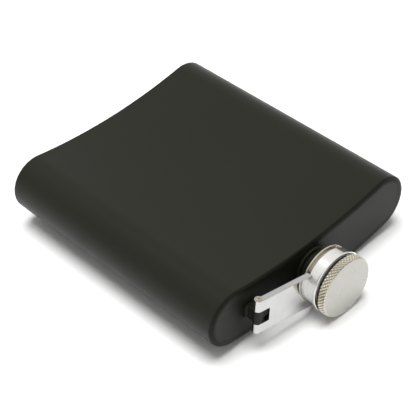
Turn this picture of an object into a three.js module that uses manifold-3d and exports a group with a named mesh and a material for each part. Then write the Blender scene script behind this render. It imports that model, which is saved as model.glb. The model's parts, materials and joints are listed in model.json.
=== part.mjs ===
// A pocket hip flask: a curved sheet-metal shell with flat end plates, a threaded spout and a
// knurled screw cap that stays captive in the ring of a hinged arm.
//
// Frame: millimetres. The flask lies on its convex face with the spout pointing along +X, the
// width of the shell along Y and +Z up. The origin is under the middle of the bounding box.
import * as THREE from "three";
import { mergeVertices } from "three/addons/utils/BufferGeometryUtils.js";
import Module from "manifold-3d";

const wasm = await Module();
wasm.setup();

// ---------------------------------------------------------------- driving dimensions
const SHELL_WIDTH = 92;
const SHELL_LENGTH = 99.3;
const SHELL_THICKNESS = 21.4;
const SHELL_BEND_RADIUS = 209;
const SHEET = 1;
const LIP_WIDTH = 2.4;
const LIP_ROUND = 1;
const WELD_GAP = 0.1;
const PLATE_RECESS = 0.05;

const AXIS_HEIGHT = 11.1;
const HEAD_TOP = 15.5;
const HEAD_UNDERSIDE = 12.5;
const HEAD_RADIUS = 11.05;
const HEAD_DOME = 0.15;
const HEAD_BEVEL = 0.35;
const HEAD_RIM_WIDTH = 0.7;
const HEAD_RIM_HEIGHT = 0.5;
const FLUTE_COUNT = 54;
const FLUTE_DEPTH = 0.4;
const HUB_RADIUS = 6.7;
const HUB_BOTTOM = 10.4;

const GASKET_THICKNESS = 1.2;
const SEAT_GAP = 0.05;
const NECK_TOP = HUB_BOTTOM - GASKET_THICKNESS - 2 * SEAT_GAP;
const NECK_BORE = 4.6;
const NECK_ROOT = 6.05;
const NECK_CREST = 6.5;
const NECK_FOOT_RADIUS = 7.6;
const NECK_FOOT_HEIGHT = 0.9;
const NECK_PLAIN = 2.4;

const THREAD_PITCH = 1.25;
const RIDGE_SHARE = 2 / 3;
const THREAD_MARGIN = 0.4;
const SLEEVE_RELIEF = 0.8;
const SLEEVE_CREST = 6.9;
const SLEEVE_ROOT = 7.35;
const SLEEVE_RADIUS = 8.8;
const SLEEVE_BOTTOM = 4.6;
const FLANGE_RADIUS = 10.35;
const FLANGE_BOTTOM = 4.85;
const FLANGE_TOP = 5.4;
const FLANGE_CHAMFER = 0.15;

const RING_BOTTOM = 6.7;
const RING_TOP = 11.4;
const RING_BORE = 9.4;
const RING_RADIUS = 10.4;
const RING_LIP_RADIUS = 11.05;
const RING_LIP_HEIGHT = 0.6;

const HINGE_REACH = 30;
const HINGE_HEIGHT = 4.5;
const HINGE_TURN = THREE.MathUtils.degToRad(8);
const HINGE_OFFSET = 1.1;
const ARM_RISE = THREE.MathUtils.degToRad(5);
const ARM_WIDTH = 13.1;
const ARM_THICKNESS = 2.1;
const ARM_TO_RING_GAP = 0.1;
const KNUCKLE_RADIUS = 1.5;
const NOTCH_LOW = -2.95;
const NOTCH_HIGH = 2.15;
const NOTCH_DEPTH = 3.6;
const BARREL_CLEARANCE = 0.25;
const PIN_RADIUS = 0.8;
const PIN_BORE = 0.95;
const PIN_PROUD = 0.3;
const FOOT_THICKNESS = 0.9;
const FOOT_TOWARD_NECK = 4.6;
const FOOT_AWAY = 1.8;
const WEB_HALF = 1.1;
const CUT_OVERSHOOT = 1;
const NOTCH_CUT_HALF = 5;

// ---------------------------------------------------------------- worked-out places
const TOTAL_LENGTH = SHELL_LENGTH + HEAD_TOP;
const BASE_X = -TOTAL_LENGTH / 2;
const SHOULDER_X = BASE_X + SHELL_LENGTH;
const OUTER_BEND = SHELL_BEND_RADIUS + SHELL_THICKNESS / 2;
const END_RADIUS = SHELL_THICKNESS / 2;
const END_ANGLE = Math.asin((SHELL_WIDTH / 2 - END_RADIUS) / SHELL_BEND_RADIUS);

const LONG_STEPS = 28;
const END_STEPS = 16;
const ROLL_STEPS = 4;
const LIP_STEPS = 6;
const ROUND_STEPS = 48;
const FINE_ROUND_STEPS = 96;
const KNUCKLE_STEPS = 32;
const PIN_STEPS = 24;
const THREAD_ROUND_STEPS = 40;
const ROWS_PER_PITCH = 4;

// ---------------------------------------------------------------- general helpers
function manifoldOf(geometry) {
  const bare = geometry.clone();
  bare.deleteAttribute("normal");
  bare.deleteAttribute("uv");
  const merged = mergeVertices(bare, 1e-4);
  return new wasm.Manifold(
    new wasm.Mesh({
      numProp: 3,
      vertProperties: merged.attributes.position.array,
      triVerts: new Uint32Array(merged.index.array),
    }),
  );
}

function geometryOf(solid) {
  const mesh = solid.getMesh();
  const geometry = new THREE.BufferGeometry();
  geometry.setAttribute("position", new THREE.BufferAttribute(mesh.vertProperties, 3));
  geometry.setIndex(new THREE.BufferAttribute(mesh.triVerts, 1));
  geometry.computeVertexNormals();
  return geometry;
}

// Closes a grid of rings (each the same count of Vector3) into a surface; the last ring joins the
// first when the rings run round a closed profile.
function surfaceOf(rings) {
  const count = rings[0].length;
  const positions = rings.flat().flatMap((p) => [p.x, p.y, p.z]);
  const index = [];
  for (let r = 0; r < rings.length; r++) {
    const here = r * count;
    const there = ((r + 1) % rings.length) * count;
    for (let i = 0; i < count; i++) {
      const next = (i + 1) % count;
      index.push(here + i, here + next, there + next);
      index.push(here + i, there + next, there + i);
    }
  }
  const geometry = new THREE.BufferGeometry();
  geometry.setAttribute("position", new THREE.Float32BufferAttribute(positions, 3));
  geometry.setIndex(index);
  return geometry;
}

function polar(radius, angle) {
  return new THREE.Vector2(radius * Math.cos(angle), radius * Math.sin(angle));
}

function arcPoints(cx, cy, radius, from, to, steps) {
  const points = [];
  for (let i = 0; i <= steps; i++) {
    const angle = from + ((to - from) * i) / steps;
    points.push(new THREE.Vector2(cx + radius * Math.cos(angle), cy + radius * Math.sin(angle)));
  }
  return points;
}

// Turns local (x, y, z) into part (y, z, x), so that a shape drawn in the Y-Z plane extrudes along X.
const ALONG_X = new THREE.Matrix4().makeBasis(
  new THREE.Vector3(0, 1, 0),
  new THREE.Vector3(0, 0, 1),
  new THREE.Vector3(1, 0, 0),
);

// Turned pieces: points are (radius, height above the shoulder) and the axis is the spout's.
function turned(points, steps = ROUND_STEPS) {
  const profile = points.map(([radius, height]) => new THREE.Vector2(radius, height));
  const geometry = new THREE.LatheGeometry(profile, steps);
  geometry.rotateZ(-Math.PI / 2);
  geometry.translate(SHOULDER_X, 0, AXIS_HEIGHT);
  return geometry;
}

function closed(points) {
  return [...points, points[0]];
}

// ---------------------------------------------------------------- shell outline
// The kidney section, moved in by inset: a convex arc below, a concave arc above and round ends.
function kidneyOutline(inset) {
  const low = OUTER_BEND - inset;
  const high = OUTER_BEND - SHELL_THICKNESS + inset;
  const round = END_RADIUS - inset;
  const endY = SHELL_BEND_RADIUS * Math.sin(END_ANGLE);
  const endZ = OUTER_BEND - SHELL_BEND_RADIUS * Math.cos(END_ANGLE);
  const down = -Math.PI / 2;
  const stretches = [
    arcPoints(0, OUTER_BEND, low, down - END_ANGLE, down + END_ANGLE, LONG_STEPS),
    arcPoints(endY, endZ, round, down + END_ANGLE, -down + END_ANGLE, END_STEPS),
    arcPoints(0, OUTER_BEND, high, down + END_ANGLE, down - END_ANGLE, LONG_STEPS),
    arcPoints(-endY, endZ, round, -down - END_ANGLE, -3 * down - END_ANGLE, END_STEPS),
  ];
  return stretches.flatMap((points) => points.slice(0, -1));
}

function kidneyRing(inset, x) {
  return kidneyOutline(inset).map((p) => new THREE.Vector3(x, p.x, p.y));
}

// ---------------------------------------------------------------- shell
// The sheet runs along the shell and turns inward in a flattened round at both ends.
function bodyWall() {
  const quarter = Math.PI / 2;
  const rolled = (x, toward, from, to) =>
    arcPoints(0, 0, 1, from, to, LIP_STEPS).map((p) => ({
      inset: LIP_WIDTH * (1 - p.x),
      x: x + toward * LIP_ROUND * (1 - p.y),
    }));
  const profile = [
    ...rolled(BASE_X, 1, quarter, 0),
    ...rolled(SHOULDER_X, -1, 0, quarter),
    { inset: LIP_WIDTH, x: SHOULDER_X - SHEET },
    { inset: SHEET, x: SHOULDER_X - SHEET },
    { inset: SHEET, x: BASE_X + SHEET },
    { inset: LIP_WIDTH, x: BASE_X + SHEET },
  ];
  return surfaceOf(profile.map((p) => kidneyRing(p.inset, p.x)));
}

function endPlate(outsideX, toward, holeRadius) {
  const shape = new THREE.Shape(kidneyOutline(LIP_WIDTH + WELD_GAP));
  if (holeRadius > 0) {
    const hole = arcPoints(0, AXIS_HEIGHT, holeRadius, 0, 2 * Math.PI, ROUND_STEPS).slice(0, -1);
    shape.holes.push(new THREE.Path(hole));
  }
  const geometry = new THREE.ExtrudeGeometry(shape, { depth: SHEET, bevelEnabled: false });
  geometry.applyMatrix4(ALONG_X);
  const inside = outsideX + toward * PLATE_RECESS;
  geometry.translate(toward > 0 ? inside : inside - SHEET, 0, 0);
  return geometry;
}

// ---------------------------------------------------------------- screw thread
// A tube whose outer or inner face carries a helical ridge that fades out at both ends.
function threadedTube({ plain, root, crest, bottom, top, threadBottom, threadTop, foot, footTop }) {
  const rows = Math.round(((threadTop - threadBottom) / THREAD_PITCH) * ROWS_PER_PITCH);
  const ring = (height, radiusAt) => {
    const points = [];
    for (let i = 0; i < THREAD_ROUND_STEPS; i++) {
      const turn = i / THREAD_ROUND_STEPS;
      const angle = 2 * Math.PI * turn;
      const radius = radiusAt(turn);
      const y = radius * Math.cos(angle);
      const z = AXIS_HEIGHT + radius * Math.sin(angle);
      points.push(new THREE.Vector3(SHOULDER_X + height, y, z));
    }
    return points;
  };
  const even = (radius) => () => radius;
  const rings = [ring(bottom, even(plain))];
  if (foot) {
    rings.push(ring(bottom, even(foot)), ring(footTop, even(foot)), ring(footTop, even(root)));
  } else {
    rings.push(ring(bottom, even(root)));
  }
  for (let row = 0; row <= rows; row++) {
    const along = row / rows;
    const height = threadBottom + (threadTop - threadBottom) * along;
    const fade = Math.min(1, row / ROWS_PER_PITCH, (rows - row) / ROWS_PER_PITCH);
    rings.push(
      ring(height, (turn) => {
        const turns = height / THREAD_PITCH - turn;
        const phase = turns - Math.floor(turns);
        const ridge = Math.max(0, 1 - Math.abs(phase - 0.5) / (RIDGE_SHARE / 2));
        return root + (crest - root) * ridge * fade;
      }),
    );
  }
  rings.push(ring(top, even(root)), ring(top, even(plain)));
  return surfaceOf(plain > root ? rings.reverse() : rings);
}

function neckTube() {
  return threadedTube({
    plain: NECK_BORE,
    root: NECK_ROOT,
    crest: NECK_CREST,
    bottom: SEAT_GAP,
    top: NECK_TOP,
    threadBottom: NECK_PLAIN,
    threadTop: NECK_TOP - THREAD_MARGIN,
    foot: NECK_FOOT_RADIUS,
    footTop: NECK_FOOT_HEIGHT,
  });
}

// ---------------------------------------------------------------- cap
function capHead() {
  const shape = new THREE.Shape();
  const points = [];
  for (let i = 0; i < FLUTE_COUNT; i++) {
    const crestAngle = (2 * Math.PI * i) / FLUTE_COUNT;
    const rootAngle = (2 * Math.PI * (i + 0.5)) / FLUTE_COUNT;
    const root = HEAD_RADIUS - FLUTE_DEPTH;
    points.push(polar(HEAD_RADIUS, crestAngle), polar(root, rootAngle));
  }
  shape.setFromPoints(points);
  const fluted = new THREE.ExtrudeGeometry(shape, { depth: HEAD_TOP, bevelEnabled: false });
  fluted.applyMatrix4(ALONG_X);
  fluted.translate(SHOULDER_X, 0, AXIS_HEIGHT);
  const edge = HEAD_TOP - HEAD_DOME - HEAD_RIM_HEIGHT;
  const blank = turned([
    [0, HUB_BOTTOM],
    [HUB_RADIUS, HUB_BOTTOM],
    [HUB_RADIUS, HEAD_UNDERSIDE],
    [HEAD_RADIUS - HEAD_BEVEL, HEAD_UNDERSIDE],
    [HEAD_RADIUS + SEAT_GAP, HEAD_UNDERSIDE + HEAD_BEVEL],
    [HEAD_RADIUS + SEAT_GAP, edge],
    [HEAD_RADIUS - HEAD_RIM_WIDTH, edge + HEAD_RIM_HEIGHT],
    [HEAD_RADIUS / 2, HEAD_TOP - HEAD_DOME / 4],
    [0, HEAD_TOP],
  ]);
  return geometryOf(manifoldOf(blank).intersect(manifoldOf(fluted)));
}

function capGasket() {
  const top = HUB_BOTTOM - SEAT_GAP;
  return turned([
    [0, top - GASKET_THICKNESS],
    [HUB_RADIUS, top - GASKET_THICKNESS],
    [HUB_RADIUS, top],
    [0, top],
  ]);
}

function capSleeve() {
  return threadedTube({
    plain: SLEEVE_RADIUS,
    root: SLEEVE_ROOT,
    crest: SLEEVE_CREST,
    bottom: SLEEVE_BOTTOM,
    top: HEAD_UNDERSIDE - SEAT_GAP,
    threadBottom: SLEEVE_BOTTOM + THREAD_MARGIN,
    threadTop: HUB_BOTTOM - GASKET_THICKNESS - SLEEVE_RELIEF,
  });
}

function capFlange() {
  const bore = SLEEVE_RADIUS + WELD_GAP;
  return turned(
    closed([
      [bore, FLANGE_BOTTOM],
      [FLANGE_RADIUS - FLANGE_CHAMFER, FLANGE_BOTTOM],
      [FLANGE_RADIUS, FLANGE_BOTTOM + FLANGE_CHAMFER],
      [FLANGE_RADIUS, FLANGE_TOP - FLANGE_CHAMFER],
      [FLANGE_RADIUS - FLANGE_CHAMFER, FLANGE_TOP],
      [bore, FLANGE_TOP],
    ]),
  );
}

// ---------------------------------------------------------------- ring and arm
function collarRing() {
  const lipBottom = RING_TOP - RING_LIP_HEIGHT;
  const sweep = RING_LIP_RADIUS - RING_RADIUS;
  const flare = arcPoints(RING_LIP_RADIUS, lipBottom - sweep, sweep, Math.PI, Math.PI / 2, ROLL_STEPS);
  return turned(
    closed([
      [RING_BORE, RING_BOTTOM],
      [RING_RADIUS, RING_BOTTOM],
      ...flare.map((p) => [p.x, p.y]),
      [RING_LIP_RADIUS, RING_TOP],
      [RING_BORE, RING_TOP],
    ]),
  );
}

// The hinge's own frame: origin on the pin, x toward the ring, y out from the shoulder, z along the pin.
const hingePlace = (() => {
  const along = new THREE.Vector3(0, Math.cos(HINGE_TURN), -Math.sin(HINGE_TURN));
  const pin = new THREE.Vector3(0, Math.sin(HINGE_TURN), Math.cos(HINGE_TURN));
  const place = new THREE.Matrix4().makeBasis(along, new THREE.Vector3(1, 0, 0), pin.negate());
  const foot = new THREE.Vector3(0, 0, AXIS_HEIGHT - HINGE_OFFSET).addScaledVector(along, -HINGE_REACH);
  return place.setPosition(SHOULDER_X + HINGE_HEIGHT, foot.y, foot.z);
})();

// A side view in the hinge frame, extruded along the pin between two places measured up the pin.
function alongPin(shape, low, high) {
  const geometry = new THREE.ExtrudeGeometry(shape, { depth: high - low, bevelEnabled: false });
  geometry.translate(0, 0, -high);
  return geometry;
}

function disc(radius, steps = KNUCKLE_STEPS) {
  return new THREE.Shape(arcPoints(0, 0, radius, 0, 2 * Math.PI, steps).slice(0, -1));
}

function block(x0, x1, y0, y1) {
  return new THREE.Shape([
    new THREE.Vector2(x0, y0),
    new THREE.Vector2(x1, y0),
    new THREE.Vector2(x1, y1),
    new THREE.Vector2(x0, y1),
  ]);
}

function armPlate() {
  const half = ARM_WIDTH / 2;
  const rise = Math.tan(ARM_RISE);
  const topAt = (x) => KNUCKLE_RADIUS / Math.cos(ARM_RISE) + x * rise;
  const thick = ARM_THICKNESS / Math.cos(ARM_RISE);
  const start = -KNUCKLE_RADIUS * Math.sin(ARM_RISE);
  const reach = HINGE_REACH;
  const side = new THREE.Shape([
    new THREE.Vector2(start, topAt(start) - thick),
    new THREE.Vector2(reach, topAt(reach) - thick),
    new THREE.Vector2(reach, topAt(reach)),
    new THREE.Vector2(start, topAt(start)),
  ]);
  const plate = manifoldOf(alongPin(side, -half, half));
  const knuckles = manifoldOf(alongPin(disc(KNUCKLE_RADIUS), -half, half));
  const bore = manifoldOf(alongPin(disc(PIN_BORE), -half - CUT_OVERSHOOT, half + CUT_OVERSHOOT));
  const notchSide = block(-NOTCH_DEPTH, NOTCH_DEPTH, -NOTCH_CUT_HALF, NOTCH_CUT_HALF);
  const notch = manifoldOf(alongPin(notchSide, NOTCH_LOW, NOTCH_HIGH));
  const inHinge = plate.add(knuckles).subtract(bore).subtract(notch);
  const placed = geometryOf(inHinge).applyMatrix4(hingePlace);
  const room = RING_RADIUS + ARM_TO_RING_GAP;
  const ringRoom = manifoldOf(
    turned(
      [
        [0, 0],
        [room, 0],
        [room, HEAD_TOP],
        [0, HEAD_TOP],
      ],
      FINE_ROUND_STEPS,
    ),
  );
  return geometryOf(manifoldOf(placed).subtract(ringRoom));
}

function hingePin() {
  const half = ARM_WIDTH / 2 + PIN_PROUD;
  return alongPin(disc(PIN_RADIUS, PIN_STEPS), -half, half).applyMatrix4(hingePlace);
}

function hingeBracket() {
  const low = NOTCH_LOW + BARREL_CLEARANCE;
  const high = NOTCH_HIGH - BARREL_CLEARANCE;
  const floor = -HINGE_HEIGHT + SEAT_GAP;
  const barrel = manifoldOf(alongPin(disc(KNUCKLE_RADIUS), low, high));
  const web = manifoldOf(alongPin(block(-WEB_HALF, WEB_HALF, floor, 0), low, high));
  const foot = manifoldOf(
    alongPin(block(-FOOT_AWAY, FOOT_TOWARD_NECK, floor, floor + FOOT_THICKNESS), low, high),
  );
  const bore = manifoldOf(alongPin(disc(PIN_BORE), low - CUT_OVERSHOOT, high + CUT_OVERSHOOT));
  return geometryOf(barrel.add(web).add(foot).subtract(bore)).applyMatrix4(hingePlace);
}

// ---------------------------------------------------------------- materials
function paint(colour) {
  return new THREE.MeshStandardMaterial({ color: colour, roughness: 0.42, metalness: 0.1 });
}

function metal(colour, roughness) {
  return new THREE.MeshStandardMaterial({ color: colour, roughness, metalness: 1 });
}

const BLACK = 0x2b2c2a;
const POLISHED = 0xcfcfd0;
const NICKEL = 0xc9c2b0;
const SATIN = 0xcac7c0;

// ---------------------------------------------------------------- assembly
const group = new THREE.Group();

function add(name, geometry, material) {
  const mesh = new THREE.Mesh(geometry, material);
  mesh.name = name;
  group.add(mesh);
}

add("body_wall", bodyWall(), paint(BLACK));
add("shoulder_plate", endPlate(SHOULDER_X, -1, NECK_BORE), paint(BLACK));
add("base_plate", endPlate(BASE_X, 1, 0), paint(BLACK));
add("neck_tube", neckTube(), metal(POLISHED, 0.25));
add("hinge_bracket", hingeBracket(), paint(BLACK));
add("hinge_pin", hingePin(), metal(NICKEL, 0.3));
add("arm_plate", armPlate(), metal(POLISHED, 0.18));
add("collar_ring", collarRing(), metal(POLISHED, 0.15));
add("cap_flange", capFlange(), metal(NICKEL, 0.3));
add("cap_sleeve", capSleeve(), metal(POLISHED, 0.3));
add("cap_gasket", capGasket(), new THREE.MeshStandardMaterial({ color: 0xb8b4a8, roughness: 0.7 }));
add("cap_head", capHead(), metal(SATIN, 0.35));

export default group;
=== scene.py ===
import json
import math

import bmesh
import bpy
from mathutils import Matrix, Vector


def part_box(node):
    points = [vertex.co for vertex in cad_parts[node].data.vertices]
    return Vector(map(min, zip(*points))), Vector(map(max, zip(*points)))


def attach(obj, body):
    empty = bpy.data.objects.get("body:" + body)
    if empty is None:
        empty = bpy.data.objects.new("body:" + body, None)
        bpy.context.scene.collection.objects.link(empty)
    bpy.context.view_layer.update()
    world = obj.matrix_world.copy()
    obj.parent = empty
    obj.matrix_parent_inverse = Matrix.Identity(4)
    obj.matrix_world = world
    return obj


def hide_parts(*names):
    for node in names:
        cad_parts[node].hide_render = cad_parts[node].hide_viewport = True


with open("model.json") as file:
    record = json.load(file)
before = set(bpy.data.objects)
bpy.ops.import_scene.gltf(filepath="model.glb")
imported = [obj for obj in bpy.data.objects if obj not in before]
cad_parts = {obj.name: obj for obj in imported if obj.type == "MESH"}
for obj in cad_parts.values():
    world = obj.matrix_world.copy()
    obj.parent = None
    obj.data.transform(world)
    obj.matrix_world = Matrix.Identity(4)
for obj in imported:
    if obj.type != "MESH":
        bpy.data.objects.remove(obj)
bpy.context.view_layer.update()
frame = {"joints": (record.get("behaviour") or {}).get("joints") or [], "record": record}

# A pocket hip flask lying on its convex face. Shapes are drawn in millimetres and become metres
# when a mesh is made. Heights on the spout are measured out from the shoulder along +X.
MM = 0.001

# ---------------------------------------------------------------- places read from the frame
WALL_LOW, WALL_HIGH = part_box("body_wall")
BASE = WALL_LOW.x / MM
SHOULDER = WALL_HIGH.x / MM

NECK_LOW, NECK_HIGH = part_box("neck_tube")
AXIS_Y = (NECK_LOW.y + NECK_HIGH.y) / 2 / MM
AXIS_Z = (NECK_LOW.z + NECK_HIGH.z) / 2 / MM
NECK_TOP = NECK_HIGH.x / MM - SHOULDER

ARM_HINGE = next(j for j in frame["joints"] if j["name"] == "arm_hinge")
PIN_CENTRE = Vector(ARM_HINGE["pos_m"]) / MM
PIN_UP = -Vector(ARM_HINGE["axis"]).normalized()
OUT = Vector((1, 0, 0))
ALONG = PIN_UP.cross(OUT)
HINGE_HEIGHT = PIN_CENTRE.x - SHOULDER

BODY_OF = {
    node: body for body, nodes in frame["record"]["behaviour"]["bodies"].items() for node in nodes
}

# ---------------------------------------------------------------- shell dimensions
SHELL_WIDTH = 92
SHELL_THICKNESS = 21.4
BEND_RADIUS = 209
SHEET = 1
LIP_WIDTH = 2.4
LIP_ROUND = 1
# Strength of the painted shade that darkens the turned-in edge of the shell.
LIP_PAINTED_SHADE = 0.95
SEAM = 0.02
JOINT_OVERLAP = 0.02
PLATE_RECESS = 0.05
PLATE_EDGE = 0.06
END_RADIUS = SHELL_THICKNESS / 2
END_ANGLE = math.asin((SHELL_WIDTH / 2 - END_RADIUS) / BEND_RADIUS)
BEND_CENTRE_Z = BEND_RADIUS + END_RADIUS
LONG_STEPS = 64
END_STEPS = 32
ROLL_STEPS = 12

# ---------------------------------------------------------------- spout and cap dimensions
NECK_BORE = 4.6
NECK_ROOT = 6.05
NECK_CREST = 6.5
NECK_FOOT_RADIUS = 7.6
NECK_FOOT_HEIGHT = 0.9
NECK_PLAIN = 2.4
# How far up the neck the black enamel of painted shade reaches.
NECK_PAINTED = 3.2
THREAD_PITCH = 1.25
THREAD_ROWS_PER_PITCH = 10
THREAD_MARGIN = 0.4
RIDGE_SHARE = 2 / 3
RIDGE_FULLNESS = 0.8
MOUTH_EDGE = 0.15
SLEEVE_RELIEF = 0.8
SLEEVE_CREST = 6.9
SLEEVE_ROOT = 7.35
SLEEVE_RADIUS = 8.8
SLEEVE_BOTTOM = 4.6
FLANGE_RADIUS = 10.35
FLANGE_BOTTOM = 4.85
FLANGE_TOP = 5.4
GASKET_TOP = 10.38
GASKET_THICKNESS = 1.23
HUB_RADIUS = 6.7
HUB_BOTTOM = 10.4
HEAD_UNDERSIDE = 12.5
HEAD_TOP = 15.5
HEAD_RADIUS = 11.05
HEAD_DOME = 0.15
HEAD_RIM_WIDTH = 0.7
HEAD_RIM_HEIGHT = 0.5
KNURL_COUNT = 54
KNURL_DEPTH = 0.42
KNURL_SLANT = 1.0
KNURL_COLUMNS = 10
KNURL_ROWS = 20
KNURL_START = 0.1
KNURL_FLAT = 1.15
KNURL_CROSSING = 0.75
DOME_RINGS = (0.985, 0.95, 0.88, 0.76, 0.6, 0.42, 0.22)
RIM_ROWS = 6
RING_BORE = 9.4
RING_BOTTOM = 6.7
RING_TOP = 11.4
RING_RADIUS = 10.4
RING_LIP_RADIUS = 11.05
RING_LIP_HEIGHT = 0.6

# ---------------------------------------------------------------- hinge dimensions
ARM_RISE = math.radians(5)
ARM_WIDTH = 13.1
ARM_THICKNESS = 2.1
ARM_REACH = 30
ARM_BITE = 0.02
KNUCKLE_RADIUS = 1.5
NOTCH_LOW = -2.95
NOTCH_HIGH = 2.15
NOTCH_DEPTH = 3.6
BARREL_CLEARANCE = 0.25
PIN_RADIUS = 0.8
PIN_BORE = 0.95
PIN_PROUD = 0.3
PIN_STAKED_RADIUS = 0.92
PIN_DIMPLE = 0.42
PIN_DIMPLE_DEPTH = 1.6
FOOT_THICKNESS = 0.9
FOOT_TOWARD_NECK = 4.6
FOOT_AWAY = 1.8
WEB_HALF = 1.1
CUT_OVERSHOOT = 1
NOTCH_CUT_HALF = 5
FOOT_EDGE = 0.2
WEB_FILLET = 0.6
PART_BEVEL = 0.14
ARM_BEVEL = 0.18
SMOOTH_ANGLE = math.radians(32)
TAU = 2 * math.pi


# ---------------------------------------------------------------- mesh helpers
def piece_from(bm, name):
    bmesh.ops.recalc_face_normals(bm, faces=bm.faces)
    mesh = bpy.data.meshes.new(name)
    bm.to_mesh(mesh)
    bm.free()
    mesh.shade_smooth()
    mesh.set_sharp_from_angle(angle=SMOOTH_ANGLE)
    piece = bpy.data.objects.new(name, mesh)
    bpy.context.scene.collection.objects.link(piece)
    return piece


def flat_face_normals(piece):
    """Keeps broad faces flat in the shading where they meet narrow rounded edges."""
    weighted = piece.modifiers.new("flat faces", "WEIGHTED_NORMAL")
    weighted.keep_sharp = True
    return piece


def skin(name, rings, wrap=False):
    """Joins rings of points into a surface; a ring of one point closes an end."""
    bm = bmesh.new()
    loops = [[bm.verts.new(Vector(point) * MM) for point in ring] for ring in rings]
    pairs = list(zip(loops, loops[1:]))
    if wrap:
        pairs.append((loops[-1], loops[0]))
    for near, far in pairs:
        count = max(len(near), len(far))
        for i in range(count):
            j = (i + 1) % count
            corners = [near[i % len(near)], near[j % len(near)], far[j % len(far)], far[i % len(far)]]
            bm.faces.new(list(dict.fromkeys(corners)))
    return flat_face_normals(piece_from(bm, name))


def arc(centre, radius, start, end, steps):
    cx, cy = centre
    angles = [start + (end - start) * i / steps for i in range(steps + 1)]
    return [(cx + radius * math.cos(a), cy + radius * math.sin(a)) for a in angles]


def filleted(corners, steps=4):
    """Rounds a closed outline whose corners are (x, y, fillet radius)."""
    outline = []
    for i, (x, y, radius) in enumerate(corners):
        here = Vector((x, y))
        if radius == 0:
            outline.append((x, y))
            continue
        back = Vector(corners[i - 1][:2]) - here
        on = Vector(corners[(i + 1) % len(corners)][:2]) - here
        half = back.angle(on) / 2
        reach = min(radius / math.tan(half), back.length / 2, on.length / 2)
        bisector = (back.normalized() + on.normalized()).normalized()
        centre = here + bisector * reach / math.cos(half)
        start = here + back.normalized() * reach - centre
        end = here + on.normalized() * reach - centre
        sweep = start.angle(end)
        for step in range(steps + 1):
            t = step / steps
            toward = start * math.sin((1 - t) * sweep) + end * math.sin(t * sweep)
            outline.append(tuple(centre + toward / math.sin(sweep)))
    return outline


# ---------------------------------------------------------------- turned pieces
def on_spout(radius, height, turn):
    angle = TAU * turn
    return Vector((SHOULDER + height, AXIS_Y + radius * math.cos(angle), AXIS_Z + radius * math.sin(angle)))


def on_pin(radius, height, turn):
    angle = TAU * turn
    return PIN_CENTRE + PIN_UP * height + (ALONG * math.cos(angle) + OUT * math.sin(angle)) * radius


def turned(name, profile, steps=128, place=on_spout, wrap=True):
    """Turns a profile of (radius, height) about an axis."""
    rings = []
    for radius, height in profile:
        count = 1 if radius == 0 else steps
        rings.append([place(radius, height, i / steps) for i in range(count)])
    return skin(name, rings, wrap)


def ridge_at(height, turn):
    """How far up the thread's flank a point is, from 0 at the root to 1 on the rounded crest."""
    off_crest = (height / THREAD_PITCH - turn) % 1 - 0.5
    if abs(off_crest) >= RIDGE_SHARE / 2:
        return 0.0
    return max(0.0, math.cos(math.pi * off_crest / RIDGE_SHARE)) ** RIDGE_FULLNESS


def threaded(name, plain, foot_profile, root, crest, low, high, top, steps=96):
    """A tube with a helical ridge on the face away from its plain face."""
    rows = round((high - low) / THREAD_PITCH * THREAD_ROWS_PER_PITCH)
    rings = []
    for radius, height in foot_profile:
        rings.append([on_spout(radius, height, i / steps) for i in range(steps)])
    for row in range(rows + 1):
        height = low + (high - low) * row / rows
        fade = min(1, row / THREAD_ROWS_PER_PITCH, (rows - row) / THREAD_ROWS_PER_PITCH)
        ring = []
        for i in range(steps):
            turn = i / steps
            ring.append(on_spout(root + (crest - root) * ridge_at(height, turn) * fade, height, turn))
        rings.append(ring)
    edge = MOUTH_EDGE if plain < root else -MOUTH_EDGE
    below = top - MOUTH_EDGE
    mouth = ((root, below), (root - edge, top), (plain + edge, top), (plain, below))
    for radius, height in mouth:
        rings.append([on_spout(radius, height, i / steps) for i in range(steps)])
    return skin(name, rings, wrap=True)


# ---------------------------------------------------------------- shell
def kidney(inset, x):
    """The flask's section moved in by inset, at the place x along the body."""
    low = BEND_CENTRE_Z - inset
    high = BEND_CENTRE_Z - SHELL_THICKNESS + inset
    end_y = BEND_RADIUS * math.sin(END_ANGLE)
    end_z = BEND_CENTRE_Z - BEND_RADIUS * math.cos(END_ANGLE)
    down = -math.pi / 2
    stretches = (
        arc((0, BEND_CENTRE_Z), low, down - END_ANGLE, down + END_ANGLE, LONG_STEPS),
        arc((end_y, end_z), END_RADIUS - inset, down + END_ANGLE, END_ANGLE - down, END_STEPS),
        arc((0, BEND_CENTRE_Z), high, down + END_ANGLE, down - END_ANGLE, LONG_STEPS),
        arc((-end_y, end_z), END_RADIUS - inset, -down - END_ANGLE, -3 * down - END_ANGLE, END_STEPS),
    )
    return [Vector((x, y, z)) for stretch in stretches for y, z in stretch[:-1]]


def rolled_edge(x, toward, outward_first):
    """One end of the sheet as (inset, x, shade) from the long wall round to the end face; the shade is
    painted shade, a darkening strongest partway round the turn.
    """
    points = []
    for step in range(ROLL_STEPS + 1):
        angle = step / ROLL_STEPS * math.pi / 2
        c, s = math.cos(angle), math.sin(angle)
        points.append((LIP_WIDTH * (1 - c), x + toward * LIP_ROUND * (1 - s), LIP_PAINTED_SHADE * s * s * c))
    return points if outward_first else points[::-1]


def shell():
    """The bent sheet, with a point attribute of painted shade that darkens the turned-in edge partway round
    its turn.
    """
    profile = [
        *rolled_edge(BASE, 1, False),
        *rolled_edge(SHOULDER, -1, True),
        (LIP_WIDTH, SHOULDER - SHEET, 0),
        (SHEET, SHOULDER - SHEET, 0),
        (SHEET, BASE + SHEET, 0),
        (LIP_WIDTH, BASE + SHEET, 0),
    ]
    rings = [kidney(inset, x) for inset, x, shade in profile]
    piece = skin("shell", rings, wrap=True)
    # Painted shade: each point carries how far the enamel is darkened there, strongest partway round the
    # turned-in edge.
    painted_edge_shades = [point[2] for point, ring in zip(profile, rings) for _ in ring]
    piece.data.attributes.new("painted_edge_shade", "FLOAT", "POINT").data.foreach_set("value", painted_edge_shades)
    return piece


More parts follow.
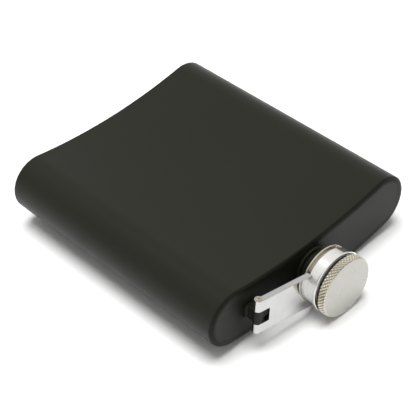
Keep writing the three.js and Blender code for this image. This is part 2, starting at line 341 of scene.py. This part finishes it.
def spout_ring_under(outline, radius, x):
    """A circle about the spout with one point facing each point of a larger outline."""
    ring = []
    for point in outline:
        angle = math.atan2(point.z - AXIS_Z, point.y - AXIS_Y)
        ring.append(Vector((x, AXIS_Y + radius * math.cos(angle), AXIS_Z + radius * math.sin(angle))))
    return ring


def end_panel(name, face_x, outward, hole_radius):
    """A flat end plate with a rounded rim, holed for the spout where hole_radius isn't 0."""
    rim = LIP_WIDTH + SEAM
    back_x = face_x - outward * SHEET
    rounding = arc((0, 0), PLATE_EDGE, math.pi / 2, 0, ROLL_STEPS)
    rings = [kidney(rim + PLATE_EDGE - a, face_x - outward * (PLATE_EDGE - b)) for a, b in rounding]
    rings.append(kidney(rim, back_x))
    if hole_radius:
        outline = rings[0]
        rings.insert(0, spout_ring_under(outline, hole_radius, face_x))
        rings.append(spout_ring_under(outline, hole_radius, back_x))
        return skin(name, rings, wrap=True)
    rings.insert(0, [Vector((face_x, AXIS_Y, AXIS_Z))])
    rings.append([Vector((back_x, AXIS_Y, AXIS_Z))])
    return skin(name, rings)


# ---------------------------------------------------------------- spout
def neck():
    seat = -PLATE_RECESS
    foot = filleted(
        [
            (NECK_BORE, seat, 0),
            (NECK_FOOT_RADIUS, seat, 0),
            (NECK_FOOT_RADIUS, NECK_FOOT_HEIGHT, 0.25),
            (NECK_ROOT, NECK_FOOT_HEIGHT, 0.2),
            (NECK_ROOT, NECK_PLAIN - 0.2, 0),
        ]
    )
    high = NECK_TOP - THREAD_MARGIN
    return threaded("spout", NECK_BORE, foot, NECK_ROOT, NECK_CREST, NECK_PLAIN, high, NECK_TOP)


def shade_neck_foot_black(spout, paint):
    """Gives the outside of the neck below its thread the shell's black enamel: painted shade for the dark
    gap under the cap.
    """
    spout.data.materials.append(paint)
    painted_below = (SHOULDER + NECK_PAINTED) * MM
    for face in spout.data.polygons:
        radius = math.hypot(face.center.y / MM - AXIS_Y, face.center.z / MM - AXIS_Z)
        if radius > NECK_BORE + 0.2 and face.center.x < painted_below:
            face.material_index = 1


# ---------------------------------------------------------------- cap
def knurl_height(height, turn):
    """Diamond knurl: 1 on the point of a diamond, 0 in the crossing grooves."""
    around = KNURL_COUNT * turn
    pitch = TAU * HEAD_RADIUS / KNURL_COUNT
    climb = KNURL_SLANT * height / pitch
    first = abs(2 * ((around + climb) % 1) - 1)
    second = abs(2 * ((around - climb) % 1) - 1)
    crossing = 1 - KNURL_CROSSING + KNURL_CROSSING * second
    return min(1.0, KNURL_FLAT * min(first, crossing))


def knurled_band():
    """Rows of (radius, height, knurl depth) up the head's side and round its upper rim."""
    low = HEAD_UNDERSIDE + KNURL_START
    rim = HEAD_TOP - HEAD_DOME - HEAD_RIM_HEIGHT
    rows = [(HEAD_RADIUS - KNURL_DEPTH, low - 0.06, 0)]
    for row in range(KNURL_ROWS + 1):
        rows.append((HEAD_RADIUS, low + (rim - low) * row / KNURL_ROWS, KNURL_DEPTH))
    for step in range(1, RIM_ROWS + 1):
        angle = step / RIM_ROWS * math.pi / 2
        radius = HEAD_RADIUS - HEAD_RIM_WIDTH * (1 - math.cos(angle))
        height = rim + HEAD_RIM_HEIGHT * math.sin(angle)
        rows.append((radius, height, KNURL_DEPTH * math.cos(angle) ** 0.8))
    return rows


def cap_head():
    steps = KNURL_COUNT * KNURL_COLUMNS
    rows = [
        (0, HUB_BOTTOM, 0),
        (HUB_RADIUS - 0.2, HUB_BOTTOM, 0),
        (HUB_RADIUS, HUB_BOTTOM + 0.2, 0),
        (HUB_RADIUS, HEAD_UNDERSIDE, 0),
        (HEAD_RADIUS - KNURL_DEPTH - 0.3, HEAD_UNDERSIDE, 0),
        (HEAD_RADIUS - KNURL_DEPTH - 0.1, HEAD_UNDERSIDE + 0.04, 0),
        *knurled_band(),
    ]
    dome_edge = HEAD_RADIUS - HEAD_RIM_WIDTH
    for part in DOME_RINGS:
        rows.append((dome_edge * part, HEAD_TOP - HEAD_DOME * part**2, 0))
    rows.append((0, HEAD_TOP, 0))
    rings = []
    groove_shade_and_grime = []
    knurl_painted_highlight = []
    for radius, height, depth in rows:
        ring = []
        for i in range(steps if radius else 1):
            turn = i / steps
            groove = 1 - knurl_height(height, turn) if depth else 0
            ring.append(on_spout(radius - depth * groove, height, turn))
            # This list feeds the painted shade, with some grime, that darkens the knurl's grooves.
            groove_shade_and_grime.append(groove * depth / KNURL_DEPTH)
            # This list marks the knurled side for its painted highlight.
            knurl_painted_highlight.append(depth / KNURL_DEPTH)
        rings.append(ring)
    head = skin("knurled_head", rings)
    for name, values in (("groove", groove_shade_and_grime), ("knurl_painted_highlight", knurl_painted_highlight)):
        head.data.attributes.new(name, "FLOAT", "POINT").data.foreach_set("value", values)
    return head


def cap_sleeve():
    top = HEAD_UNDERSIDE + JOINT_OVERLAP
    foot = [
        (SLEEVE_RADIUS, top),
        (SLEEVE_RADIUS, SLEEVE_BOTTOM),
        (SLEEVE_ROOT, SLEEVE_BOTTOM),
    ]
    high = GASKET_TOP - GASKET_THICKNESS - SLEEVE_RELIEF
    return threaded(
        "screw_sleeve",
        SLEEVE_RADIUS,
        foot,
        SLEEVE_ROOT,
        SLEEVE_CREST,
        SLEEVE_BOTTOM + THREAD_MARGIN,
        high,
        top,
    )


def cap_flange():
    bore = SLEEVE_RADIUS - JOINT_OVERLAP
    middle = (FLANGE_BOTTOM + FLANGE_TOP) / 2
    corners = [
        (bore, FLANGE_BOTTOM, 0),
        (FLANGE_RADIUS, FLANGE_BOTTOM, 0.16),
        (FLANGE_RADIUS, middle - 0.08, 0.02),
        (FLANGE_RADIUS - 0.06, middle, 0.02),
        (FLANGE_RADIUS, middle + 0.08, 0.02),
        (FLANGE_RADIUS, FLANGE_TOP, 0.16),
        (bore, FLANGE_TOP, 0),
    ]
    return turned("keeper_flange", filleted(corners))


def cap_gasket():
    low = GASKET_TOP - GASKET_THICKNESS
    seat_inner = NECK_BORE - 0.2
    seat_outer = NECK_ROOT + 0.15
    corners = [
        (0, low, 0),
        (seat_inner, low, 0.1),
        (seat_inner + 0.15, low + 0.12, 0.1),
        (seat_outer - 0.15, low + 0.12, 0.1),
        (seat_outer, low, 0.1),
        (HUB_RADIUS, low, 0.25),
        (HUB_RADIUS, GASKET_TOP, 0.25),
        (0, GASKET_TOP, 0),
    ]
    return turned("seal_disc", filleted(corners), steps=96, wrap=False)


def arm_ring():
    lip_bottom = RING_TOP - RING_LIP_HEIGHT
    sweep = RING_LIP_RADIUS - RING_RADIUS
    flare = arc((RING_LIP_RADIUS, lip_bottom - sweep), sweep, math.pi, math.pi / 2, 6)
    back = filleted(
        [(RING_BORE, RING_BOTTOM, 0.15), (RING_RADIUS, RING_BOTTOM, 0.2), (RING_RADIUS, RING_TOP, 0)]
    )
    front = filleted(
        [(RING_LIP_RADIUS, lip_bottom, 0), (RING_LIP_RADIUS, RING_TOP, 0.22), (RING_BORE, RING_TOP, 0.2)]
    )
    return turned("arm_ring", back[:-1] + flare + front[1:], steps=160)


# ---------------------------------------------------------------- hinge
def hinge_point(along, out, up):
    return PIN_CENTRE + ALONG * along + OUT * out + PIN_UP * up


def prism(name, outline, low, high):
    """A side view (along, out) pulled along the hinge pin from low to high."""
    bm = bmesh.new()
    ends = []
    for up in (low, high):
        ends.append([bm.verts.new(hinge_point(x, y, up) * MM) for x, y in outline])
    count = len(outline)
    for i in range(count):
        j = (i + 1) % count
        bm.faces.new((ends[0][i], ends[0][j], ends[1][j], ends[1][i]))
    bm.faces.new(ends[0])
    bm.faces.new(ends[1])
    return piece_from(bm, name)


def spout_plug(name, radius, low, high, steps=160):
    """A closed cylinder about the spout, for cutting."""
    bm = bmesh.new()
    ends = []
    for height in (low, high):
        ends.append([bm.verts.new(on_spout(radius, height, i / steps) * MM) for i in range(steps)])
    for i in range(steps):
        j = (i + 1) % steps
        bm.faces.new((ends[0][i], ends[0][j], ends[1][j], ends[1][i]))
    bm.faces.new(ends[0])
    bm.faces.new(ends[1])
    return piece_from(bm, name)


def cut(piece, tools):
    """Takes each tool's solid away from the piece for good."""
    for tool in tools:
        boolean = piece.modifiers.new("cut", "BOOLEAN")
        boolean.operation = "DIFFERENCE"
        boolean.solver = "EXACT"
        boolean.object = tool
    bpy.context.view_layer.update()
    evaluated = piece.evaluated_get(bpy.context.evaluated_depsgraph_get())
    mesh = bpy.data.meshes.new_from_object(evaluated)
    piece.modifiers.clear()
    piece.data = mesh
    for tool in tools:
        bpy.data.objects.remove(tool)
    return piece


def softened(piece, width=PART_BEVEL):
    """Rounds the sharp edges a little, as tumbling and polishing leave them."""
    bevel = piece.modifiers.new("edges", "BEVEL")
    bevel.width = width * MM
    bevel.segments = 3
    bevel.limit_method = "ANGLE"
    bevel.angle_limit = math.radians(40)
    return flat_face_normals(piece)


def disc(radius, steps=32):
    return arc((0, 0), radius, 0, TAU, steps)[:-1]


def block(x0, x1, y0, y1):
    return [(x0, y0), (x1, y0), (x1, y1), (x0, y1)]


def arm():
    half = ARM_WIDTH / 2
    under = KNUCKLE_RADIUS - ARM_THICKNESS
    exit_angle = TAU + math.asin(under / KNUCKLE_RADIUS)
    level = [
        (ARM_REACH, under),
        (ARM_REACH, KNUCKLE_RADIUS),
        *arc((0, 0), KNUCKLE_RADIUS, math.pi / 2, exit_angle, 40),
    ]
    c, s = math.cos(ARM_RISE), math.sin(ARM_RISE)
    side = [(x * c - y * s, x * s + y * c) for x, y in level]
    piece = prism("swing_arm", side, -half, half)
    notch = block(-NOTCH_DEPTH, NOTCH_DEPTH, -NOTCH_CUT_HALF, NOTCH_CUT_HALF)
    tools = [
        prism("cut_bore", disc(PIN_BORE), -half - CUT_OVERSHOOT, half + CUT_OVERSHOOT),
        prism("cut_notch", notch, NOTCH_LOW, NOTCH_HIGH),
        spout_plug("cut_ring", RING_RADIUS - ARM_BITE, 0, HEAD_TOP),
    ]
    return softened(cut(piece, tools), ARM_BEVEL)


def bracket():
    low = NOTCH_LOW + BARREL_CLEARANCE
    high = NOTCH_HIGH - BARREL_CLEARANCE
    seat = -HINGE_HEIGHT - PLATE_RECESS
    foot_top = seat + PLATE_RECESS + FOOT_THICKNESS
    web_angle = math.acos(WEB_HALF / KNUCKLE_RADIUS)
    near, away = FOOT_TOWARD_NECK, -FOOT_AWAY
    outline = [
        *filleted([(away, seat, 0), (near, seat, 0), (near, foot_top, FOOT_EDGE)]),
        *filleted([(near, foot_top, 0), (WEB_HALF, foot_top, WEB_FILLET), (WEB_HALF, 0, 0)])[1:-1],
        *arc((0, 0), KNUCKLE_RADIUS, -web_angle, math.pi + web_angle, 36),
        *filleted([(-WEB_HALF, 0, 0), (-WEB_HALF, foot_top, WEB_FILLET), (away, foot_top, 0)])[1:-1],
        (away, foot_top),
    ]
    piece = prism("hinge_knuckle", outline, low, high)
    bore = prism("cut_bracket_bore", disc(PIN_BORE), low - CUT_OVERSHOOT, high + CUT_OVERSHOOT)
    return softened(cut(piece, [bore]))


def pin():
    half = ARM_WIDTH / 2
    end = half + PIN_PROUD
    top = [
        (PIN_RADIUS, half + SEAM, 0),
        (PIN_STAKED_RADIUS, half + SEAM, 0.04),
        (PIN_STAKED_RADIUS, end - 0.1, 0.05),
        (PIN_STAKED_RADIUS - 0.2, end, 0.1),
        (PIN_DIMPLE, end, 0.05),
        (PIN_DIMPLE * 0.6, end - PIN_DIMPLE_DEPTH + 0.1, 0.05),
        (0, end - PIN_DIMPLE_DEPTH, 0),
    ]
    rounded = filleted([(0, 0, 0), *top], steps=3)[1:]
    profile = [(r, -h) for r, h in reversed(rounded)] + rounded
    return turned("pin", profile, steps=40, place=on_pin, wrap=False)


# ---------------------------------------------------------------- material helpers
class Nodes:
    """Short hand for one material's node tree."""

    def __init__(self, name, base, metallic, roughness):
        self.material = bpy.data.materials.new(name)
        self.material.use_nodes = True
        self.tree = self.material.node_tree
        self.shader = self.tree.nodes["Principled BSDF"]
        self.shader.inputs["Base Color"].default_value = (*base, 1)
        self.shader.inputs["Metallic"].default_value = metallic
        self.shader.inputs["Roughness"].default_value = roughness

    def add(self, kind, **inputs):
        made = self.tree.nodes.new(kind)
        for key, value in inputs.items():
            made.inputs[key.replace("_", " ")].default_value = value
        return made

    def link(self, source, target):
        self.tree.links.new(source, target)

    def place(self, scale=(1, 1, 1)):
        """The point on the object, in metres, stretched by scale."""
        coordinates = self.add("ShaderNodeTexCoord")
        mapping = self.add("ShaderNodeMapping", Scale=scale)
        self.link(coordinates.outputs["Object"], mapping.inputs["Vector"])
        return mapping.outputs["Vector"]

    def turned_place(self, scale):
        """(x, distance from the spout's axis), so that a texture runs round the axis."""
        coordinates = self.add("ShaderNodeTexCoord")
        mapping = self.add("ShaderNodeMapping", Location=(0, -AXIS_Y * MM, -AXIS_Z * MM))
        self.link(coordinates.outputs["Object"], mapping.inputs["Vector"])
        flat = self.add("ShaderNodeVectorMath")
        flat.operation = "MULTIPLY"
        flat.inputs[1].default_value = (0, 1, 1)
        self.link(mapping.outputs["Vector"], flat.inputs[0])
        length = self.add("ShaderNodeVectorMath")
        length.operation = "LENGTH"
        self.link(flat.outputs["Vector"], length.inputs[0])
        parts = self.add("ShaderNodeSeparateXYZ")
        self.link(mapping.outputs["Vector"], parts.inputs["Vector"])
        joined = self.add("ShaderNodeCombineXYZ")
        self.link(parts.outputs["X"], joined.inputs["X"])
        self.link(length.outputs["Value"], joined.inputs["Y"])
        scaled = self.add("ShaderNodeVectorMath")
        scaled.operation = "SCALE"
        scaled.inputs["Scale"].default_value = scale
        self.link(joined.outputs["Vector"], scaled.inputs[0])
        return scaled.outputs["Vector"]

    def noise(self, place, scale, detail=2.0, roughness=0.5):
        made = self.add("ShaderNodeTexNoise", Scale=scale, Detail=detail, Roughness=roughness)
        self.link(place, made.inputs["Vector"])
        return made.outputs["Fac"]

    def spread(self, value, low, high, to_low, to_high):
        """Maps a noise value between two bounds onto another range."""
        made = self.add("ShaderNodeMapRange")
        for key, number in zip(("From Min", "From Max", "To Min", "To Max"), (low, high, to_low, to_high)):
            made.inputs[key].default_value = number
        self.link(value, made.inputs["Value"])
        return made.outputs["Result"]

    def tint(self, value, first, second):
        """Blends the base colour between two tones by a noise value."""
        ramp = self.add("ShaderNodeValToRGB")
        ramp.color_ramp.elements[0].position = 0.35
        ramp.color_ramp.elements[0].color = (*first, 1)
        ramp.color_ramp.elements[1].position = 0.65
        ramp.color_ramp.elements[1].color = (*second, 1)
        self.link(value, ramp.inputs["Fac"])
        self.link(ramp.outputs["Color"], self.shader.inputs["Base Color"])

    def attribute(self, name):
        made = self.add("ShaderNodeAttribute")
        made.attribute_name = name
        return made.outputs["Fac"]

    def toward(self, value, tone):
        """Blends the base colour already linked toward tone by value."""
        mix = self.add("ShaderNodeMix")
        mix.data_type = "RGBA"
        base = self.shader.inputs["Base Color"]
        self.link(base.links[0].from_socket, mix.inputs["A"])
        mix.inputs["B"].default_value = (*tone, 1)
        self.link(value, mix.inputs["Factor"])
        self.link(mix.outputs["Result"], base)

    def bumps(self, *layers):
        """Stacks bump layers of (height value, strength, depth in millimetres)."""
        below = None
        for height, strength, depth in layers:
            bump = self.add("ShaderNodeBump", Strength=strength, Distance=depth * MM)
            self.link(height, bump.inputs["Height"])
            if below:
                self.link(below.outputs["Normal"], bump.inputs["Normal"])
            below = bump
        self.link(below.outputs["Normal"], self.shader.inputs["Normal"])


# ---------------------------------------------------------------- materials
def enamel():
    """Satin black enamel: a fine orange peel, slow changes in gloss, a faint olive cast, and painted shade
    along the shell's turned-in edge.
    """
    m = Nodes("satin_black_enamel", (0.0094, 0.0102, 0.0058), 0, 0.42)
    here = m.place()
    m.tint(m.noise(here, 28, 4), (0.0089, 0.0097, 0.0054), (0.0099, 0.0107, 0.0062))
    # Painted shade: the enamel turns nearly black and less glossy along the shell's turned-in edge.
    painted_edge_shade = m.attribute("painted_edge_shade")
    m.toward(painted_edge_shade, (0.001, 0.0012, 0.0007))
    m.link(m.spread(painted_edge_shade, 0, 0.5, 0.19, 0.06), m.shader.inputs["Specular IOR Level"])
    cloudy = m.noise(here, 55, 5, 0.6)
    m.link(m.spread(cloudy, 0.3, 0.7, 0.39, 0.47), m.shader.inputs["Roughness"])
    m.bumps((m.noise(here, 1500, 2), 0.12, 0.02), (m.noise(here, 5200, 1), 0.06, 0.006))
    return m.material


def polished_steel():
    """Buffed stainless steel: long faint polishing lines and slight haze."""
    m = Nodes("polished_stainless", (0.53, 0.53, 0.525), 1, 0.07)
    streaks = m.place((3200, 90, 3200))
    lines = m.noise(streaks, 1, 3, 0.7)
    haze = m.noise(m.place(), 240, 4)
    m.tint(haze, (0.515, 0.515, 0.51), (0.545, 0.545, 0.54))
    m.link(m.spread(lines, 0.25, 0.75, 0.05, 0.10), m.shader.inputs["Roughness"])
    m.bumps((lines, 0.04, 0.002), (haze, 0.04, 0.004))
    return m.material


def ring_steel():
    """The same buffed steel on the turned ring, with its lines running round it, but with a base colour
    painted much lighter than the arm's: a painted highlight for the light the ring catches.
    """
    m = Nodes("polished_ring", (0.87, 0.86, 0.84), 1, 0.25)
    lines = m.noise(m.turned_place(5200), 1, 3, 0.7)
    haze = m.noise(m.place(), 260, 4)
    m.tint(haze, (0.855, 0.846, 0.822), (0.885, 0.876, 0.857))
    m.link(m.spread(lines, 0.25, 0.75, 0.20, 0.30), m.shader.inputs["Roughness"])
    m.bumps((lines, 0.06, 0.004))
    return m.material


def satin_steel():
    """Satin nickel on the cap's head: fine turning lines, a warm cast, a knurled side painted lighter as a
    painted highlight, and knurl grooves darkened to dull brown by painted shade with some grime.
    """
    m = Nodes("satin_nickel", (0.46, 0.45, 0.42), 1, 0.34)
    lines = m.noise(m.turned_place(7000), 1, 2, 0.6)
    patches = m.noise(m.place(), 190, 4)
    m.tint(patches, (0.448, 0.436, 0.406), (0.472, 0.460, 0.430))
    # Painted highlight: the knurled side is made lighter than the face, for the light its ridges catch; the
    # warmer tint is the nickel's own cast.
    m.toward(m.attribute("knurl_painted_highlight"), (0.76, 0.72, 0.605))
    # Painted shade with some grime: the knurl grooves are darkened to a dull brown.
    m.toward(m.spread(m.attribute("groove"), 0.35, 1.0, 0.0, 1.0), (0.20, 0.165, 0.10))
    m.link(m.spread(patches, 0.3, 0.7, 0.26, 0.34), m.shader.inputs["Roughness"])
    m.bumps((lines, 0.06, 0.005), (m.noise(m.place(), 2600, 2), 0.02, 0.003))
    return m.material


def warm_steel():
    """Nickel-toned steel on the keeper flange and the hinge pin."""
    m = Nodes("warm_nickel", (0.66, 0.60, 0.48), 1, 0.28)
    lines = m.noise(m.turned_place(6000), 1, 2, 0.6)
    patches = m.noise(m.place(), 300, 4)
    m.tint(patches, (0.64, 0.575, 0.45), (0.69, 0.63, 0.52))
    m.link(m.spread(lines, 0.3, 0.7, 0.24, 0.34), m.shader.inputs["Roughness"])
    m.bumps((lines, 0.08, 0.006))
    return m.material


def bare_steel():
    """Machined stainless steel on the spout and inside the cap, with visible turning marks."""
    m = Nodes("turned_stainless", (0.60, 0.595, 0.58), 1, 0.3)
    lines = m.noise(m.turned_place(4200), 1, 2, 0.6)
    patches = m.noise(m.place(), 220, 3)
    m.tint(patches, (0.57, 0.565, 0.55), (0.63, 0.625, 0.61))
    m.link(m.spread(lines, 0.3, 0.7, 0.22, 0.38), m.shader.inputs["Roughness"])
    m.bumps((lines, 0.14, 0.01))
    return m.material


def silicone():
    """Milky silicone rubber with a moulded matte skin."""
    m = Nodes("milky_silicone", (0.62, 0.60, 0.54), 0, 0.55)
    m.shader.inputs["Subsurface Weight"].default_value = 0.3
    m.shader.inputs["Subsurface Radius"].default_value = (0.0012, 0.0010, 0.0008)
    here = m.place()
    m.tint(m.noise(here, 160, 3), (0.58, 0.56, 0.50), (0.65, 0.63, 0.57))
    m.link(m.spread(m.noise(here, 420, 3), 0.3, 0.7, 0.48, 0.62), m.shader.inputs["Roughness"])
    m.bumps((m.noise(here, 3800, 2), 0.15, 0.01))
    return m.material


# ---------------------------------------------------------------- object
def install(piece, material, body, node):
    piece.data.materials.clear()
    piece.data.materials.append(material)
    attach(piece, body)
    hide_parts(node)


def build_object():
    paint = enamel()
    turned_steel = bare_steel()
    warm = warm_steel()
    install(shell(), paint, "flask", "body_wall")
    shoulder = end_panel("shoulder_panel", SHOULDER - PLATE_RECESS, 1, NECK_BORE)
    install(shoulder, paint, "flask", "shoulder_plate")
    base = end_panel("base_panel", BASE + PLATE_RECESS, -1, 0)
    install(base, paint, "flask", "base_plate")
    install(bracket(), paint, "flask", "hinge_bracket")
    spout = neck()
    install(spout, turned_steel, "flask", "neck_tube")
    shade_neck_foot_black(spout, paint)
    install(pin(), warm, BODY_OF["hinge_pin"], "hinge_pin")
    install(arm(), polished_steel(), "arm", "arm_plate")
    install(arm_ring(), ring_steel(), "arm", "collar_ring")
    install(cap_flange(), warm, BODY_OF["cap_flange"], "cap_flange")
    install(cap_sleeve(), turned_steel, BODY_OF["cap_sleeve"], "cap_sleeve")
    install(cap_head(), satin_steel(), BODY_OF["cap_head"], "cap_head")
    install(cap_gasket(), silicone(), BODY_OF["cap_gasket"], "cap_gasket")


# ---------------------------------------------------------------- floor and light
def floor():
    """A wide pale table top."""
    half = 4.0
    bm = bmesh.new()
    corners = ((-half, -half), (half, -half), (half, half), (-half, half))
    bm.faces.new([bm.verts.new((x, y, 0)) for x, y in corners])
    piece = piece_from(bm, "floor")
    m = Nodes("white_paper", (0.9, 0.9, 0.9), 0, 0.9)
    m.shader.inputs["Specular IOR Level"].default_value = 0.1
    m.tint(m.noise(m.place(), 6, 2), (0.895, 0.895, 0.895), (0.905, 0.905, 0.905))
    piece.data.materials.append(m.material)


SKY_GLOSS = 1.0
SKY_FILL = 0.5
WALL_GLOSS = 0.05
KEY_STRENGTH = 3.4
KEY_ANGLE = math.radians(38)
KEY_TILT = math.radians(4)
WINDOW_ENERGY = 0.35
WINDOW_SIZE = (0.3, 0.4)
WINDOW_TOWARD = Vector((-0.56, -0.06, 0.83))
WINDOW_DISTANCE = 1.2


def ranged(tree, value, low, high, to_low, to_high):
    made = tree.nodes.new("ShaderNodeMapRange")
    for key, number in zip(("From Min", "From Max", "To Min", "To Max"), (low, high, to_low, to_high)):
        made.inputs[key].default_value = number
    tree.links.new(value, made.inputs["Value"])
    return made.outputs["Result"]


def sky():
    """Even white surroundings; reflections also find a dark low wall on the side of the cap."""
    world = bpy.data.worlds.new("studio")
    bpy.context.scene.world = world
    world.use_nodes = True
    nodes, links = world.node_tree.nodes, world.node_tree.links
    background = nodes["Background"]
    path = nodes.new("ShaderNodeLightPath")
    coordinates = nodes.new("ShaderNodeTexCoord")
    parts = nodes.new("ShaderNodeSeparateXYZ")
    ramp = nodes.new("ShaderNodeValToRGB")
    links.new(coordinates.outputs["Generated"], parts.inputs["Vector"])
    links.new(parts.outputs["Z"], ramp.inputs["Fac"])
    tree = world.node_tree
    wall = nodes.new("ShaderNodeMath")
    wall.operation = "MULTIPLY"
    links.new(ranged(tree, parts.outputs["X"], 0.3, 0.7, 0, 1), wall.inputs[0])
    links.new(ranged(tree, parts.outputs["Z"], 0.3, 0.6, 1, 0), wall.inputs[1])
    strength = nodes.new("ShaderNodeMapRange")
    strength.inputs["To Min"].default_value = SKY_FILL
    links.new(ranged(tree, wall.outputs["Value"], 0, 1, SKY_GLOSS, WALL_GLOSS), strength.inputs["To Max"])
    links.new(path.outputs["Is Glossy Ray"], strength.inputs["Value"])
    links.new(strength.outputs["Result"], background.inputs["Strength"])
    links.new(ramp.outputs["Color"], background.inputs["Color"])
    stops = ramp.color_ramp.elements
    stops[0].position, stops[0].color = 0.0, (0.75, 0.75, 0.74, 1)
    stops[1].position, stops[1].color = 1.0, (1.0, 1.0, 0.99, 1)
    for position, tone in ((0.35, 0.8), (0.7, 0.92)):
        stop = stops.new(position)
        stop.color = (tone, tone, tone * 0.985, 1)


def aim(light, direction):
    light.rotation_mode = "QUATERNION"
    light.rotation_quaternion = Vector(direction).to_track_quat("Z", "Y")


def lights():
    data = bpy.data.lights.new("overhead", "SUN")
    data.energy = KEY_STRENGTH
    data.angle = KEY_ANGLE
    key = bpy.data.objects.new("overhead", data)
    bpy.context.scene.collection.objects.link(key)
    aim(key, (-math.sin(KEY_TILT), 0, math.cos(KEY_TILT)))
    key.visible_glossy = False

    data = bpy.data.lights.new("window", "AREA")
    data.shape = "RECTANGLE"
    data.size, data.size_y = WINDOW_SIZE
    data.energy = WINDOW_ENERGY
    window = bpy.data.objects.new("window", data)
    bpy.context.scene.collection.objects.link(window)
    window.location = WINDOW_TOWARD * WINDOW_DISTANCE
    aim(window, WINDOW_TOWARD)
    window.visible_diffuse = False


# ---------------------------------------------------------------- camera
CAMERA_AZIMUTH = math.radians(49.458)
CAMERA_ELEVATION = math.radians(42.563)
CAMERA_ROLL = math.radians(-5.076)
CAMERA_DISTANCE = 480.18
CAMERA_AIM = Vector((-7.75, 0, 0.18))
CAMERA_SLIDE = (-0.59, 1.58)
CAMERA_LENS = 117.79
CAMERA_SHIFT = (0.00278, 0.0197)


def camera():
    az, el = CAMERA_AZIMUTH, CAMERA_ELEVATION
    back = Vector((math.sin(az) * math.cos(el), -math.cos(az) * math.cos(el), math.sin(el)))
    level = Vector((math.cos(az), math.sin(az), 0))
    rise = back.cross(level)
    right = level * math.cos(CAMERA_ROLL) + rise * math.sin(CAMERA_ROLL)
    up = rise * math.cos(CAMERA_ROLL) - level * math.sin(CAMERA_ROLL)
    place = CAMERA_AIM + back * CAMERA_DISTANCE + right * CAMERA_SLIDE[0] + up * CAMERA_SLIDE[1]
    data = bpy.data.cameras.new("camera")
    data.lens = CAMERA_LENS
    data.shift_x, data.shift_y = CAMERA_SHIFT
    made = bpy.data.objects.new("camera", data)
    bpy.context.scene.collection.objects.link(made)
    turn = Matrix((right, up, back)).transposed().to_4x4()
    made.matrix_world = Matrix.Translation(place * MM) @ turn
    bpy.context.scene.camera = made


def main():
    build_object()
    floor()
    sky()
    lights()
    camera()
    scene = bpy.context.scene
    scene.view_settings.view_transform = "Standard"
    scene.view_settings.look = "None"
    scene.cycles.use_denoising = True


main()
